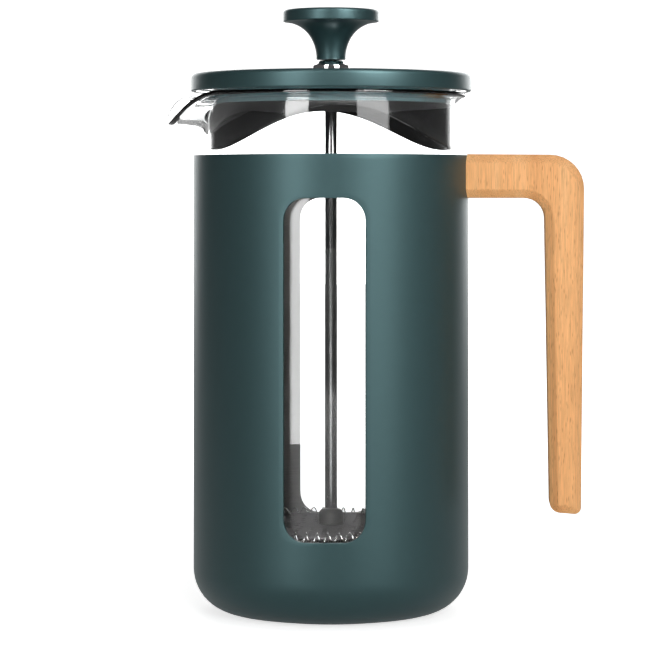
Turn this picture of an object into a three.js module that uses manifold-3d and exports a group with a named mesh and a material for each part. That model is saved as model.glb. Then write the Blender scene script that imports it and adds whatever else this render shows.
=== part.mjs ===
// French press: a glass beaker in a windowed steel sleeve, with a wooden handle and a
// lid that carries a coil-edged filter on a plunger rod.
// Millimetres, +Z up, handle towards +X. The origin is on the pot's axis at the base
// pad's underside.
import * as THREE from 'three';
import { mergeVertices } from 'three/addons/utils/BufferGeometryUtils.js';
import Module from 'manifold-3d';

const wasm = await Module();
wasm.setup();

// ---- Driving dimensions ----
// Radii and heights are from the pot's axis and from the table, unless a comment says so.

const GAP = 0.3; // between pieces that rest on each other
const ROUND_SIDES = 60; // facets round the large turned pieces
const PLATE_SIDES = 36; // facets round the pads and the filter's plates
const SMALL_SIDES = 20; // facets round the small ones

const PAD_PROUD = 0.8; // how far the base pad lifts the sleeve
const PAD_RADIUS = 31.6;

const SLEEVE_RADIUS = 51;
const SLEEVE_WALL = 1;
const SLEEVE_TOP = 169.7;
const SLEEVE_CORNER = 16.2;
const SLEEVE_RECESS = 1.2; // height of the recess that the base pad sits in

const WINDOW_WIDTH = 29.5;
const WINDOW_BOTTOM = 31.8;
const WINDOW_TOP = 153.9;
const WINDOW_CORNER = 8;

const CUSHION_RADIUS = 30;
const CUSHION_THICKNESS = 3;
const CUSHION_TAPER = 1;

const GLASS_RADIUS = 47.3;
const GLASS_WALL = 1.8;
const GLASS_FLOOR = 2.5;
const GLASS_CORNER = 13;
const FLARE_BOTTOM = 174.8; // where the rim and the spout start to leave the wall
const RIM_CENTRE = new THREE.Vector2(49.5, 192); // middle of the rounded rim
const SPOUT_TIP = new THREE.Vector2(60.4, 181.6); // middle of the rounded lip
const SPOUT_TURN = 196; // plan direction of the spout, degrees from +X
const SPOUT_REACH_ANGLE = 40; // half-angle over which the rim moves out
const SPOUT_DIP_ANGLE = 29; // half-angle over which the rim dips
const SPOUT_REACH_POWER = 1.25; // above 1 broadens the spout's end
const SPOUT_DIP_POWER = 2.4; // higher narrows the dip

const GRIP_RING_BOTTOM = 156.2;
const GRIP_RING_HEIGHT = 4;
const GRIP_RING_GAP_ANGLE = 28; // left open for the handle's screw heads

const HANDLE_THICKNESS = 20;
const HANDLE_TOP = 170.1;
const HANDLE_ARM_BOTTOM = 153.95;
const HANDLE_END = 37.2;
const HANDLE_OUTER_TOP = 93.7; // outer face of the grip, at the arm
const HANDLE_OUTER_END = 92.4; // and at its free end
const HANDLE_INNER_TOP = 79; // inner face of the grip, at the arm
const HANDLE_INNER_END = 80.9; // and at its free end
const HANDLE_OUTER_CORNER = 12.5;
const HANDLE_INNER_CORNER = 7.5;
const HANDLE_END_CORNER = 4; // lower corner on the sleeve's side
const HANDLE_END_ROUND = 2.7; // lower corner on the outer side
const HANDLE_END_RISE = 0.9; // slope of the free end towards the sleeve
const HANDLE_BEVEL = 2.6;

const SCREW_SPREAD = 5; // each side of the arm's middle
const SCREW_RADIUS = 1.9;
const SCREW_HEAD_RADIUS = 3.4;
const SCREW_HEAD_INNER = 47.9;
const SCREW_HEAD_OUTER = 48.9;
const SCREW_END = 61.5;
const INSERT_RADIUS = 3.2;
const INSERT_START = 52;
const INSERT_LENGTH = 12;

const LID_RADIUS = 52;
const LID_TOP = 200;
const LID_BOTTOM = 193.4;
const LID_SHELL = 1.2;
const LID_EDGE_ROUND = 2;
const PLUG_WALL = 1.8;
const PLUG_WEB = 2.2; // thickness of the plug's top
const PLUG_BOTTOM = 188.8;
const PLUG_RADIUS = 44.8;
const SKIRT_TOP_RADIUS = 44.9;
const SKIRT_LOW_RADIUS = 44.8;
const SKIRT_WALL = 1.6;
const SKIRT_LONG = 171.8; // lower edge of the two long tongues
const SKIRT_SHORT = 187.5; // and of the arches between them
const SKIRT_WAVE_POWER = 3.3;
const SKIRT_TURN = 6.7; // plan direction of a tongue, degrees from +X

const STEM_HOLE = 4.3; // through the lid's three layers
const FERRULE_STEM_RADIUS = 4;
const FERRULE_BASE_RADIUS = 7;
const FERRULE_TOP_RADIUS = 4;
const FERRULE_TOP = 205;
const FERRULE_BOTTOM = 190.5;
const FERRULE_BORE = 3.3;
const NUT_RADIUS = 7.5;
const NUT_HEIGHT = 3;
const BUSH_RADIUS = 3.05;
const BUSH_BORE = 2.45;
const BUSH_FLANGE_RADIUS = 4;
const BUSH_FLANGE = 0.9;

const ROD_RADIUS = 2.25;
const ROD_TOP = 214.7;
const ROD_BOTTOM = 24.5;
const KNOB_TOP = 223.8;
const KNOB_BOTTOM = 205.3;
const KNOB_RADIUS = 17.8;
const KNOB_RIM_BOTTOM = 219.3;
const KNOB_NECK_RADIUS = 5.5;
const KNOB_SOCKET_RADIUS = 3.9;
const KNOB_SOCKET_TOP = 215.6;

const COIL_RADIUS = 43.1; // centre of the coil's ring
const COIL_HEIGHT = 32.5;
const COIL_TURN_RADIUS = 1.75;
const COIL_WIRE_RADIUS = 0.3;
const COIL_TURNS = 64;
const COIL_OPEN_ANGLE = 3; // degrees left between the coil's ends
const FILTER_HOLE = 2.6;
const SPIRAL_PLATE_RADIUS = 40.4;
const SPIRAL_PLATE_TOP = 32.6;
const MESH_RADIUS = 44.6;
const MESH_TOP = 29.9;
const CROSS_PLATE_RADIUS = 41;
const CROSS_PLATE_TOP = 29;
const CROSS_PLATE_THICKNESS = 1;
const CROSS_PLATE_WINDOWS = 6;
const CROSS_PLATE_RIM = 5; // outside the windows
const CROSS_PLATE_HUB = 16; // inside them
const CROSS_PLATE_SPOKE = 16; // degrees of plate between two windows
const DOME_TOP = 39;
const DOME_RADIUS = 4.8;
const FILTER_NUT_RADIUS = 6;
const FILTER_NUT_HEIGHT = 4.5;
const FILTER_NUT_CHAMFER = 0.8;

// ---- Materials ----

const standard = (color, roughness, metalness, extra = {}) =>
  new THREE.MeshStandardMaterial({ color, roughness, metalness, ...extra });

const tealPaint = standard(0x3b5557, 0.55, 0.1);
const tealPlastic = standard(0x3b5557, 0.5, 0);
const blackPlastic = standard(0x1c1c1e, 0.15, 0);
const glass = standard(0xf2f7f7, 0.03, 0, { transparent: true, opacity: 0.3 });
const beech = standard(0xd9a06b, 0.6, 0);
const silicone = standard(0x2b2d2e, 0.8, 0);
const clearSilicone = standard(0xc9cdcc, 0.6, 0);
const nylon = standard(0xe4e2dc, 0.5, 0);
const chrome = standard(0xd8dadd, 0.08, 1);
const steel = standard(0xb4b5b6, 0.25, 1);
const brass = standard(0xc9a550, 0.3, 1);

// ---- Geometry helpers ----

const v = (x, y) => new THREE.Vector2(x, y);
const radians = THREE.MathUtils.degToRad;

// Points along a circular arc, both ends included.
function arc(centre, radius, startDegrees, endDegrees, steps) {
  return Array.from({ length: steps + 1 }, (_, i) => {
    const angle = radians(startDegrees + ((endDegrees - startDegrees) * i) / steps);
    return v(centre.x + radius * Math.cos(angle), centre.y + radius * Math.sin(angle));
  });
}

// Turns a profile of (radius, height) points about +Z.
function turned(profile, sides) {
  return new THREE.LatheGeometry(profile, sides).rotateX(Math.PI / 2);
}

// Turns a tube-like profile, which closes on its own first point.
function turnedRing(profile, sides) {
  return turned([...profile, profile[0].clone()], sides);
}

// A washer or plain ring.
function ring(inner, outer, bottom, top, sides) {
  return turnedRing([v(inner, bottom), v(outer, bottom), v(outer, top), v(inner, top)], sides);
}

// Turns a profile that changes round the axis: weights(angle) gives how far each point
// has gone from the first profile to the second, as { radius, height } from 0 to 1.
function turnedBlend(from, to, weights, sides) {
  const geometry = new THREE.LatheGeometry(from, sides);
  const position = geometry.attributes.position;
  for (let side = 0; side <= sides; side += 1) {
    const turn = (side / sides) * 2 * Math.PI;
    const { radius, height } = weights(turn - Math.PI / 2);
    from.forEach((start, row) => {
      const r = THREE.MathUtils.lerp(start.x, to[row].x, radius);
      const z = THREE.MathUtils.lerp(start.y, to[row].y, height);
      position.setXYZ(side * from.length + row, r * Math.sin(turn), z, r * Math.cos(turn));
    });
  }
  return geometry.rotateX(Math.PI / 2);
}

// A solid bar along +X from x = start to x = end.
function barAlongX(radius, start, end, y, z, sides) {
  return new THREE.CylinderGeometry(radius, radius, end - start, sides)
    .rotateZ(Math.PI / 2)
    .translate((start + end) / 2, y, z);
}

function toSolid(geometry) {
  const bare = geometry.clone();
  bare.deleteAttribute('normal');
  bare.deleteAttribute('uv');
  const merged = mergeVertices(bare, 1e-4);
  return new wasm.Manifold(
    new wasm.Mesh({
      numProp: 3,
      vertProperties: new Float32Array(merged.attributes.position.array),
      triVerts: new Uint32Array(merged.index.array),
    })
  );
}

function fromSolid(solid) {
  const mesh = solid.getMesh();
  const geometry = new THREE.BufferGeometry();
  geometry.setAttribute('position', new THREE.BufferAttribute(mesh.vertProperties, 3));
  geometry.setIndex(new THREE.BufferAttribute(mesh.triVerts, 1));
  geometry.computeVertexNormals();
  return geometry;
}

function cut(body, ...tools) {
  return fromSolid(tools.reduce((left, tool) => left.subtract(toSolid(tool)), toSolid(body)));
}

// ---- Sleeve and its pads ----

const sleeveBottom = PAD_PROUD;
const sleeveInside = SLEEVE_RADIUS - SLEEVE_WALL;
const footRadius = SLEEVE_RADIUS - SLEEVE_CORNER;
const recessTop = sleeveBottom + SLEEVE_RECESS;
const sleeveFloor = recessTop + SLEEVE_WALL;
const armMiddle = (HANDLE_TOP + HANDLE_ARM_BOTTOM) / 2;
const screwSides = [-1, 1];

function sleeveProfile() {
  const cornerHeight = sleeveBottom + SLEEVE_CORNER;
  return [
    v(0, recessTop),
    v(PAD_RADIUS + GAP, recessTop),
    v(PAD_RADIUS + 2 * GAP, sleeveBottom),
    ...arc(v(footRadius, cornerHeight), SLEEVE_CORNER, -90, 0, 5),
    v(SLEEVE_RADIUS, SLEEVE_TOP),
    v(sleeveInside, SLEEVE_TOP),
    ...arc(v(footRadius, cornerHeight), SLEEVE_CORNER - SLEEVE_WALL, 0, -90, 5),
    v(PAD_RADIUS + 2 * GAP, sleeveBottom + SLEEVE_WALL),
    v(PAD_RADIUS, sleeveFloor),
    v(0, sleeveFloor),
  ];
}

function roundedWindow() {
  const half = WINDOW_WIDTH / 2;
  const side = half - WINDOW_CORNER;
  const low = WINDOW_BOTTOM + WINDOW_CORNER;
  const high = WINDOW_TOP - WINDOW_CORNER;
  const shape = new THREE.Shape();
  shape.absarc(side, low, WINDOW_CORNER, -Math.PI / 2, 0);
  shape.absarc(side, high, WINDOW_CORNER, 0, Math.PI / 2);
  shape.absarc(-side, high, WINDOW_CORNER, Math.PI / 2, Math.PI);
  shape.absarc(-side, low, WINDOW_CORNER, Math.PI, Math.PI * 1.5);
  return shape;
}

function sleeve() {
  const across = 3 * SLEEVE_RADIUS;
  const windows = new THREE.ExtrudeGeometry(roundedWindow(), {
    depth: across,
    bevelEnabled: false,
    curveSegments: 6,
  })
    .rotateX(Math.PI / 2)
    .translate(0, across / 2, 0);
  const screwHoles = screwSides.map((side) =>
    barAlongX(SCREW_RADIUS + GAP, footRadius, 2 * SLEEVE_RADIUS, side * SCREW_SPREAD, armMiddle, 12)
  );
  return cut(turned(sleeveProfile(), ROUND_SIDES), windows, ...screwHoles);
}

function basePad() {
  const top = recessTop - GAP;
  const chamfer = 0.5;
  return turned(
    [
      v(0, 0),
      v(PAD_RADIUS - chamfer, 0),
      v(PAD_RADIUS, chamfer),
      v(PAD_RADIUS, top),
      v(0, top),
    ],
    PLATE_SIDES
  );
}

const cushionBottom = sleeveFloor + GAP;
const cushionTop = cushionBottom + CUSHION_THICKNESS;

function beakerCushion() {
  const edge = CUSHION_RADIUS - CUSHION_TAPER;
  return turned(
    [v(0, cushionBottom), v(CUSHION_RADIUS, cushionBottom), v(edge, cushionTop), v(0, cushionTop)],
    PLATE_SIDES
  );
}

function gripRing() {
  const shape = new THREE.Shape();
  const start = radians(GRIP_RING_GAP_ANGLE / 2);
  const end = 2 * Math.PI - start;
  shape.absarc(0, 0, sleeveInside - GAP, start, end, false);
  shape.absarc(0, 0, GLASS_RADIUS + GAP, end, start, true);
  return new THREE.ExtrudeGeometry(shape, {
    depth: GRIP_RING_HEIGHT,
    bevelEnabled: false,
    curveSegments: PLATE_SIDES,
  }).translate(0, 0, GRIP_RING_BOTTOM);
}

// ---- Beaker ----

const beakerBottom = cushionTop + GAP;
const glassInside = GLASS_RADIUS - GLASS_WALL;
const glassMiddle = GLASS_RADIUS - GLASS_WALL / 2;
const beakerFloor = beakerBottom + GLASS_FLOOR;

// The wall's two faces and rounded edge, round a curve through the middle of the glass.
function glassEdge(middle) {
  const half = GLASS_WALL / 2;
  const steps = 5;
  const outer = [];
  const inner = [];
  for (let step = 0; step <= steps; step += 1) {
    const point = middle.getPoint(step / steps);
    const tangent = middle.getTangent(step / steps);
    const outward = v(tangent.y, -tangent.x).multiplyScalar(half);
    outer.push(point.clone().add(outward));
    inner.unshift(point.clone().sub(outward));
  }
  const tip = middle.getPoint(1).add(middle.getTangent(1).multiplyScalar(half));
  return [...outer, tip, ...inner];
}

function beakerProfile(edgeCurve) {
  const cornerCentre = v(GLASS_RADIUS - GLASS_CORNER, beakerBottom + GLASS_CORNER);
  const innerCorner = beakerBottom + GLASS_CORNER - beakerFloor;
  const innerCentre = v(glassInside - innerCorner, beakerFloor + innerCorner);
  return [
    v(0, beakerBottom),
    ...arc(cornerCentre, GLASS_CORNER, -90, 0, 4),
    ...glassEdge(edgeCurve),
    ...arc(innerCentre, innerCorner, 0, -90, 4),
    v(0, beakerFloor),
  ];
}

function beaker() {
  const start = v(glassMiddle, FLARE_BOTTOM);
  const rim = new THREE.CubicBezierCurve(start, v(glassMiddle, 188.5), v(glassMiddle, 191.4), RIM_CENTRE);
  const lip = new THREE.CubicBezierCurve(start, v(glassMiddle, 181), v(47.2, 181.6), SPOUT_TIP);
  const weights = (angle) => {
    const fromBack = THREE.MathUtils.radToDeg(angle) - SPOUT_TURN + 180;
    const offset = THREE.MathUtils.euclideanModulo(fromBack, 360) - 180;
    const reach = Math.min(1, Math.abs(offset) / SPOUT_REACH_ANGLE);
    const dip = Math.min(1, Math.abs(offset) / SPOUT_DIP_ANGLE);
    return {
      radius: Math.cos((Math.PI / 2) * reach ** SPOUT_REACH_POWER) ** 2,
      height: Math.cos((Math.PI / 2) * dip) ** SPOUT_DIP_POWER,
    };
  };
  return turnedBlend(beakerProfile(rim), beakerProfile(lip), weights, ROUND_SIDES);
}

// ---- Handle and its fastenings ----

// Draws the rounded corner between two straight edges, with the line that leads to it.
function roundCorner(shape, before, corner, after, radius) {
  const towards = (end) => end.clone().sub(corner).normalize();
  const half = towards(before).angleTo(towards(after)) / 2;
  const setback = radius / Math.tan(half);
  const start = towards(before).multiplyScalar(setback).add(corner);
  const end = towards(after).multiplyScalar(setback).add(corner);
  const handleLength = (4 / 3) * Math.tan((Math.PI - 2 * half) / 4) * radius;
  const first = towards(before).multiplyScalar(setback - handleLength).add(corner);
  const second = towards(after).multiplyScalar(setback - handleLength).add(corner);
  shape.lineTo(start.x, start.y);
  shape.bezierCurveTo(first.x, first.y, second.x, second.y, end.x, end.y);
}

function handleOutline() {
  const root = sleeveInside - 4;
  const corners = [
    { at: v(root, HANDLE_TOP) },
    { at: v(root, HANDLE_ARM_BOTTOM) },
    { at: v(HANDLE_INNER_TOP, HANDLE_ARM_BOTTOM), radius: HANDLE_INNER_CORNER },
    { at: v(HANDLE_INNER_END, HANDLE_END + HANDLE_END_RISE), radius: HANDLE_END_CORNER },
    { at: v(HANDLE_OUTER_END, HANDLE_END), radius: HANDLE_END_ROUND },
    { at: v(HANDLE_OUTER_TOP, HANDLE_TOP), radius: HANDLE_OUTER_CORNER },
  ];
  const shape = new THREE.Shape();
  shape.moveTo(root, HANDLE_TOP);
  corners.slice(1).forEach(({ at, radius }, index) => {
    if (radius === undefined) {
      shape.lineTo(at.x, at.y);
      return;
    }
    const after = corners[(index + 2) % corners.length].at;
    roundCorner(shape, corners[index].at, at, after, radius);
  });
  return shape;
}

function handle() {
  const blank = new THREE.ExtrudeGeometry(handleOutline(), {
    depth: HANDLE_THICKNESS - 2 * HANDLE_BEVEL,
    bevelThickness: HANDLE_BEVEL,
    bevelSize: HANDLE_BEVEL,
    bevelOffset: -HANDLE_BEVEL,
    bevelSegments: 3,
    curveSegments: 6,
  })
    .rotateX(Math.PI / 2)
    .translate(0, HANDLE_THICKNESS / 2 - HANDLE_BEVEL, 0);
  const clearance = SLEEVE_RADIUS + GAP;
  const sleeveClearance = new THREE.CylinderGeometry(clearance, clearance, 3 * HANDLE_TOP, 120)
    .rotateX(Math.PI / 2);
  const bores = screwSides.map((side) =>
    barAlongX(INSERT_RADIUS + GAP, footRadius, INSERT_START + INSERT_LENGTH + GAP,
      side * SCREW_SPREAD, armMiddle, SMALL_SIDES)
  );
  return cut(blank, sleeveClearance, ...bores);
}

// Turned pieces of the handle's fastenings lie along +X.
function alongX(geometry, side) {
  return geometry.rotateY(Math.PI / 2).translate(0, side * SCREW_SPREAD, armMiddle);
}

function handleScrew(side) {
  return alongX(
    turned(
      [
        v(0, SCREW_HEAD_INNER),
        v(SCREW_HEAD_RADIUS - 0.5, SCREW_HEAD_INNER),
        v(SCREW_HEAD_RADIUS, SCREW_HEAD_OUTER - 0.4),
        v(SCREW_HEAD_RADIUS, SCREW_HEAD_OUTER),
        v(SCREW_RADIUS, SCREW_HEAD_OUTER),
        v(SCREW_RADIUS, SCREW_END - 0.8),
        v(SCREW_RADIUS - 0.8, SCREW_END),
        v(0, SCREW_END),
      ],
      16
    ),
    side
  );
}

function handleInsert(side) {
  const end = INSERT_START + INSERT_LENGTH;
  return alongX(ring(SCREW_RADIUS + GAP, INSERT_RADIUS, INSERT_START, end, 16), side);
}

// ---- Lid ----

const shellUnderside = LID_TOP - LID_SHELL;
const plugTop = shellUnderside - GAP;
const plugUnderside = plugTop - PLUG_WEB;
const skirtTop = plugUnderside - GAP;
const skirtWebBottom = skirtTop - SKIRT_WALL;
const plugInside = PLUG_RADIUS - PLUG_WALL;

function lidCap() {
  const roundCentre = v(LID_RADIUS - LID_EDGE_ROUND, LID_TOP - LID_EDGE_ROUND);
  return turnedRing(
    [
      v(LID_RADIUS - LID_SHELL, LID_BOTTOM),
      v(LID_RADIUS, LID_BOTTOM),
      ...arc(roundCentre, LID_EDGE_ROUND, 0, 90, 4),
      v(STEM_HOLE, LID_TOP),
      v(STEM_HOLE, shellUnderside),
      v(LID_RADIUS - LID_SHELL, shellUnderside),
    ],
    ROUND_SIDES
  );
}

function lidPlug() {
  const outside = LID_RADIUS - LID_SHELL - GAP;
  return turnedRing(
    [
      v(plugInside, PLUG_BOTTOM),
      v(PLUG_RADIUS, PLUG_BOTTOM),
      v(PLUG_RADIUS, LID_BOTTOM),
      v(outside, LID_BOTTOM),
      v(outside, plugTop),
      v(STEM_HOLE, plugTop),
      v(STEM_HOLE, plugUnderside),
      v(plugInside, plugUnderside),
    ],
    ROUND_SIDES
  );
}

function skirtProfile(lowerEdge) {
  const collar = plugInside - GAP;
  const shoulder = PLUG_BOTTOM - GAP;
  return [
    v(SKIRT_LOW_RADIUS - SKIRT_WALL, lowerEdge),
    v(SKIRT_LOW_RADIUS, lowerEdge),
    v(SKIRT_TOP_RADIUS, shoulder),
    v(collar, shoulder),
    v(collar, skirtTop),
    v(STEM_HOLE, skirtTop),
    v(STEM_HOLE, skirtWebBottom),
    v(collar - SKIRT_WALL, skirtWebBottom),
    v(SKIRT_LOW_RADIUS - SKIRT_WALL, lowerEdge),
  ];
}

function lidSkirt() {
  const weights = (angle) => {
    const height = Math.abs(Math.sin(angle - radians(SKIRT_TURN))) ** SKIRT_WAVE_POWER;
    return { radius: 0, height };
  };
  return turnedBlend(skirtProfile(SKIRT_LONG), skirtProfile(SKIRT_SHORT), weights, ROUND_SIDES);
}

// ---- Rod guide ----

function guideFerrule() {
  const seat = LID_TOP + GAP;
  return turnedRing(
    [
      v(FERRULE_BORE, FERRULE_BOTTOM),
      v(FERRULE_STEM_RADIUS, FERRULE_BOTTOM),
      v(FERRULE_STEM_RADIUS, seat),
      v(FERRULE_BASE_RADIUS, seat),
      v(FERRULE_BASE_RADIUS, seat + 2.7),
      v(FERRULE_BASE_RADIUS - 0.6, seat + 3.4),
      v(FERRULE_TOP_RADIUS, FERRULE_TOP),
      v(FERRULE_BORE, FERRULE_TOP),
    ],
    SMALL_SIDES
  );
}

function ferruleNut() {
  const top = skirtWebBottom - GAP;
  const hexagon = new THREE.CylinderGeometry(NUT_RADIUS, NUT_RADIUS, NUT_HEIGHT, 6)
    .rotateX(Math.PI / 2)
    .translate(0, 0, top - NUT_HEIGHT / 2);
  const bore = new THREE.CylinderGeometry(STEM_HOLE, STEM_HOLE, 3 * NUT_HEIGHT, SMALL_SIDES)
    .rotateX(Math.PI / 2)
    .translate(0, 0, top);
  return cut(hexagon, bore);
}

function rodBush() {
  const flangeTop = FERRULE_BOTTOM - GAP;
  const flangeBottom = flangeTop - BUSH_FLANGE;
  const top = FERRULE_TOP - GAP;
  return turnedRing(
    [
      v(BUSH_BORE, flangeBottom),
      v(BUSH_FLANGE_RADIUS, flangeBottom),
      v(BUSH_FLANGE_RADIUS, flangeTop),
      v(BUSH_RADIUS, flangeTop),
      v(BUSH_RADIUS, top),
      v(BUSH_BORE, top),
    ],
    SMALL_SIDES
  );
}

// ---- Plunger ----

function knob() {
  const flare = new THREE.CubicBezierCurve(
    v(KNOB_NECK_RADIUS, KNOB_BOTTOM + 1.5), v(KNOB_NECK_RADIUS + 0.4, 212.4),
    v(9, 218.3), v(KNOB_RADIUS - 0.5, KNOB_RIM_BOTTOM));
  return turned(
    [
      v(0, KNOB_SOCKET_TOP),
      v(KNOB_SOCKET_RADIUS, KNOB_SOCKET_TOP),
      v(KNOB_SOCKET_RADIUS, KNOB_BOTTOM),
      v(KNOB_NECK_RADIUS, KNOB_BOTTOM),
      ...flare.getPoints(6),
      v(KNOB_RADIUS, KNOB_RIM_BOTTOM + 0.5),
      ...arc(v(KNOB_RADIUS - 1.4, KNOB_TOP - 1.4), 1.4, 0, 90, 3),
      v(0, KNOB_TOP),
    ],
    PLATE_SIDES
  );
}

function knobInsert() {
  const bottom = KNOB_BOTTOM + 2 * GAP;
  return ring(ROD_RADIUS + GAP, KNOB_SOCKET_RADIUS - GAP, bottom, ROD_TOP, SMALL_SIDES);
}

function plungerRod() {
  return new THREE.CylinderGeometry(ROD_RADIUS, ROD_RADIUS, ROD_TOP - ROD_BOTTOM, SMALL_SIDES)
    .rotateX(Math.PI / 2)
    .translate(0, 0, (ROD_TOP + ROD_BOTTOM) / 2);
}

function filterDome() {
  const bottom = SPIRAL_PLATE_TOP + GAP;
  const crown = new THREE.QuadraticBezierCurve(
    v(DOME_RADIUS, 36), v(DOME_RADIUS, 38.4), v(FILTER_HOLE + 0.3, DOME_TOP));
  return turnedRing(
    [
      v(FILTER_HOLE, bottom),
      v(DOME_RADIUS, bottom),
      ...crown.getPoints(4),
      v(FILTER_HOLE, DOME_TOP),
    ],
    SMALL_SIDES
  );
}

class CoilCurve extends THREE.Curve {
  getPoint(t, target = new THREE.Vector3()) {
    const around = radians(COIL_OPEN_ANGLE / 2 + (360 - COIL_OPEN_ANGLE) * t);
    const turn = 2 * Math.PI * COIL_TURNS * t;
    const reach = COIL_RADIUS + COIL_TURN_RADIUS * Math.cos(turn);
    return target.set(
      reach * Math.cos(around),
      reach * Math.sin(around),
      COIL_HEIGHT - COIL_TURN_RADIUS * Math.sin(turn)
    );
  }
}

function coilSpring() {
  const path = new CoilCurve();
  const steps = COIL_TURNS * 6;
  path.arcLengthDivisions = 4 * steps;
  const wire = new THREE.Shape(arc(v(0, 0), COIL_WIRE_RADIUS, 0, 240, 2));
  return new THREE.ExtrudeGeometry(wire, { extrudePath: path, steps });
}

function filterDisc(radius, top, thickness) {
  return ring(FILTER_HOLE, radius, top - thickness, top, PLATE_SIDES);
}

function crossPlate() {
  const bottom = CROSS_PLATE_TOP - CROSS_PLATE_THICKNESS;
  const opening = new THREE.Shape();
  const halfAngle = radians((360 / CROSS_PLATE_WINDOWS - CROSS_PLATE_SPOKE) / 2);
  opening.absarc(0, 0, CROSS_PLATE_RADIUS - CROSS_PLATE_RIM, -halfAngle, halfAngle, false);
  opening.absarc(0, 0, CROSS_PLATE_HUB, halfAngle, -halfAngle, true);
  const windows = Array.from({ length: CROSS_PLATE_WINDOWS }, (_, i) =>
    new THREE.ExtrudeGeometry(opening, { depth: 3, bevelEnabled: false, curveSegments: 3 })
      .rotateZ(radians((360 / CROSS_PLATE_WINDOWS) * i))
      .translate(0, 0, bottom - 1)
  );
  const disc = filterDisc(CROSS_PLATE_RADIUS, CROSS_PLATE_TOP, CROSS_PLATE_THICKNESS);
  return cut(disc, ...windows);
}

function filterNut() {
  const top = CROSS_PLATE_TOP - CROSS_PLATE_THICKNESS - GAP;
  const bottom = top - FILTER_NUT_HEIGHT;
  return turnedRing(
    [
      v(FILTER_HOLE, bottom),
      v(FILTER_NUT_RADIUS - FILTER_NUT_CHAMFER, bottom),
      v(FILTER_NUT_RADIUS, bottom + FILTER_NUT_CHAMFER),
      v(FILTER_NUT_RADIUS, top),
      v(FILTER_HOLE, top),
    ],
    SMALL_SIDES
  );
}

// ---- Assembly ----

const group = new THREE.Group();

function add(name, geometry, material) {
  const mesh = new THREE.Mesh(geometry, material);
  mesh.name = name;
  group.add(mesh);
}

add('sleeve', sleeve(), tealPaint);
add('base_pad', basePad(), silicone);
add('beaker_cushion', beakerCushion(), clearSilicone);
add('beaker_grip_ring', gripRing(), clearSilicone);
add('beaker', beaker(), glass);
add('handle', handle(), beech);
screwSides.forEach((side) => {
  const place = side < 0 ? 'front' : 'back';
  add(`handle_screw_${place}`, handleScrew(side), steel);
  add(`handle_insert_${place}`, handleInsert(side), brass);
});

add('lid_cap', lidCap(), tealPaint);
add('lid_plug', lidPlug(), tealPlastic);
add('lid_skirt', lidSkirt(), blackPlastic);
add('guide_ferrule', guideFerrule(), chrome);
add('ferrule_nut', ferruleNut(), steel);
add('rod_bush', rodBush(), nylon);

add('knob', knob(), tealPaint);
add('knob_insert', knobInsert(), brass);
add('plunger_rod', plungerRod(), chrome);
add('filter_dome', filterDome(), steel);
add('spiral_plate', filterDisc(SPIRAL_PLATE_RADIUS, SPIRAL_PLATE_TOP, 1), steel);
add('coil_spring', coilSpring(), steel);
add('mesh_screen', filterDisc(MESH_RADIUS, MESH_TOP, 0.5), steel);
add('cross_plate', crossPlate(), steel);
add('filter_nut', filterNut(), steel);

export default group;
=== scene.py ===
"""The looks of the french press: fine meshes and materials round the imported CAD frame."""

import math

import bmesh
import bpy
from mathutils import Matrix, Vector

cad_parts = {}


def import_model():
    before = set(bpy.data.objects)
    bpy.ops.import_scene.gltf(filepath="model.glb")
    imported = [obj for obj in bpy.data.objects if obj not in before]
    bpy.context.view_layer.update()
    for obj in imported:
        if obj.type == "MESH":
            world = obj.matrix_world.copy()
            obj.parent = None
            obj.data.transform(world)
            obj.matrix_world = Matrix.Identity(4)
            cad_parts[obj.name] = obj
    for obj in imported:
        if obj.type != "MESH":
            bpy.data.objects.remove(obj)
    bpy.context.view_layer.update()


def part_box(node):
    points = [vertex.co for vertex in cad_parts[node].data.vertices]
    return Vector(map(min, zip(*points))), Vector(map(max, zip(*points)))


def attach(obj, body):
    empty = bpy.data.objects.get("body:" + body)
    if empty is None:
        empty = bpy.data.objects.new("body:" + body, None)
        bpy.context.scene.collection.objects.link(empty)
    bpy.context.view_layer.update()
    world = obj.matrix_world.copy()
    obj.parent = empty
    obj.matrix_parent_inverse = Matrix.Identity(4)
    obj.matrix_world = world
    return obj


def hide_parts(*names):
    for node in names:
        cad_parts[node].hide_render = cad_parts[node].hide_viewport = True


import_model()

MM = 0.001
TAU = 2 * math.pi

# ---- Sizes, in metres unless a line says otherwise ----

ROUND = 192  # facets round the large turned pieces
SMALL = 64  # facets round the small ones

SLEEVE_LOW, SLEEVE_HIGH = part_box("sleeve")
SLEEVE_R = SLEEVE_HIGH.x
SLEEVE_WALL = 1 * MM
SLEEVE_CORNER = 16.2 * MM
RECESS = 1.2 * MM
PAD_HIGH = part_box("base_pad")[1]
PAD_R = PAD_HIGH.x

WINDOW_HALF_WIDTH = 14.75 * MM
WINDOW_LOW = 31.8 * MM
WINDOW_HIGH = 153.9 * MM
WINDOW_CORNER = 8 * MM

GLASS_R = 47.3 * MM
GLASS_WALL = 1.8 * MM
GLASS_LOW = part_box("beaker")[0].z
GLASS_FLOOR = GLASS_LOW + 2.5 * MM
GLASS_CORNER = 13 * MM
GLASS_FLARE = 174.8 * MM
SPOUT_TURN = 196  # degrees from +X, as the beaker stands in the sleeve
SPOUT_TIP = (60.3 * MM, 181.6 * MM)
SPOUT_REACH_ANGLE = 40  # degrees to each side over which the lip leans out
SPOUT_REACH_POWER = 1.25
SPOUT_DIP_ANGLE = 29  # and over which it dips
SPOUT_DIP_POWER = 2.4
RIM_CENTRE = (49.45 * MM, 191.95 * MM)

HANDLE_LOW, HANDLE_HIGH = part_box("handle")
HANDLE_HALF = HANDLE_HIGH.y
HANDLE_EDGE = 3.1 * MM  # width of the chamfers along its edges
HANDLE_ROUNDING = 1.2 * MM  # of the chamfers' own edges
HANDLE_ARM_LOW = 153.95 * MM

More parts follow.
